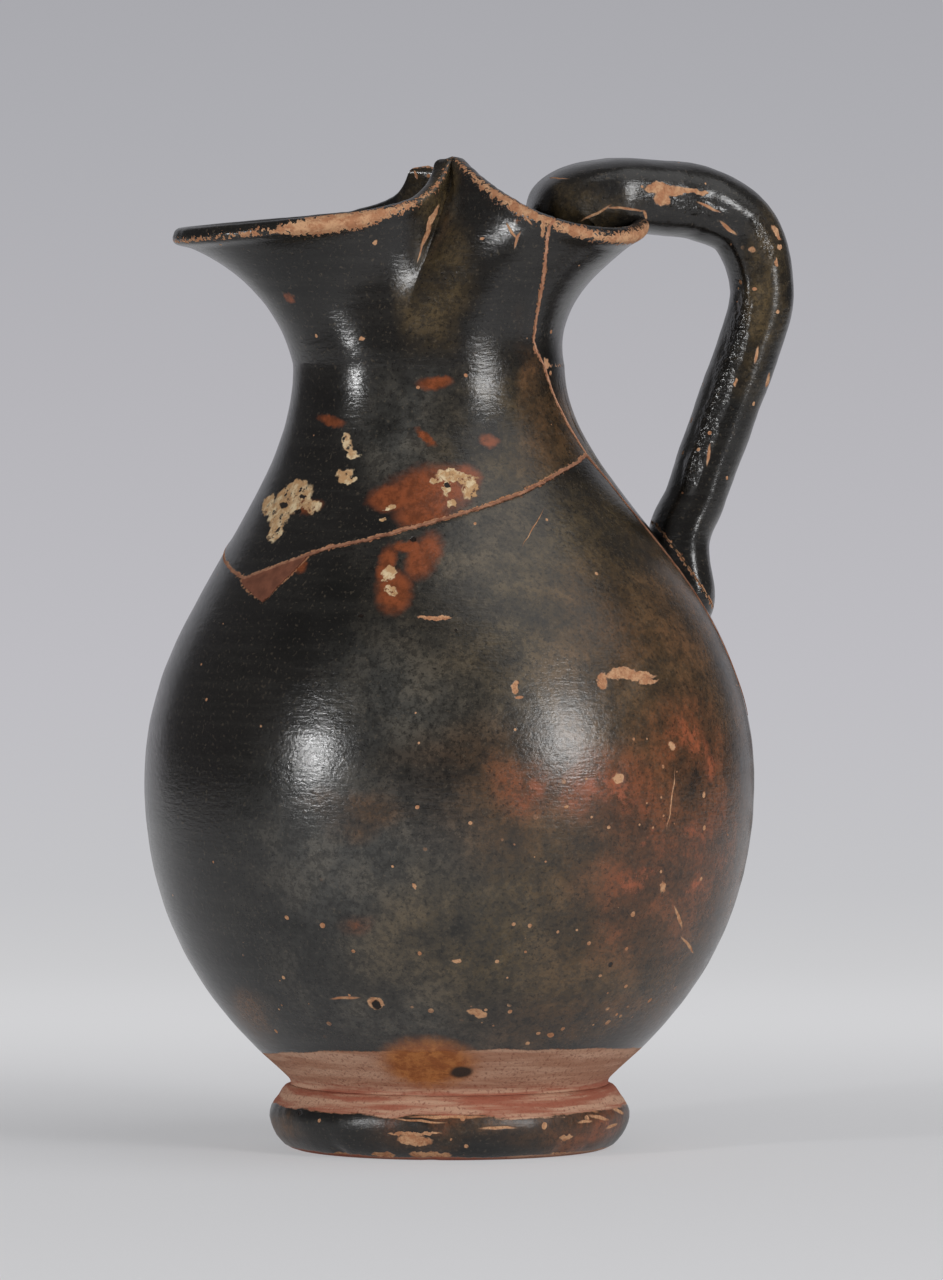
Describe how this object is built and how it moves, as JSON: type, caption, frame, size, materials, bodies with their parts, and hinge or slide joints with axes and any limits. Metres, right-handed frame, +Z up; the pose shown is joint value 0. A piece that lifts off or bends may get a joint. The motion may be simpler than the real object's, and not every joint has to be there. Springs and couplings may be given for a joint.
{
  "type": "trefoil oinochoe",
  "caption": "Black-glazed terracotta wine jug with a pinched three-lobed mouth, round belly, ring foot and high strap handle; broken and mended at neck and shoulder.",
  "frame": {"origin": "on the resting plane, under the middle of the jug's bounding box", "axes": "+Z up along the jug's own axis, -X towards the spout, +X towards the handle, +Y to the spout's right-hand lobe seen from the handle"},
  "size_m": [0.1114, 0.104, 0.1687],
  "materials": {
    "black_gloss": "satin black slip gloss, worn to orange clay at edges",
    "bare_clay": "matte fired orange-pink clay",
    "mending_plaster": "matte tinted plaster"
  },
  "bodies": {
    "root": {"foot_ring": "black_gloss", "belly": "black_gloss", "neck_front_sherd": "black_gloss", "neck_back_sherd": "black_gloss", "handle": "black_gloss", "lost_corner_fill": "mending_plaster", "shoulder_seam_fill": "mending_plaster", "near_neck_seam_fill": "mending_plaster", "far_neck_seam_fill": "mending_plaster"}
  },
  "joints": []
}
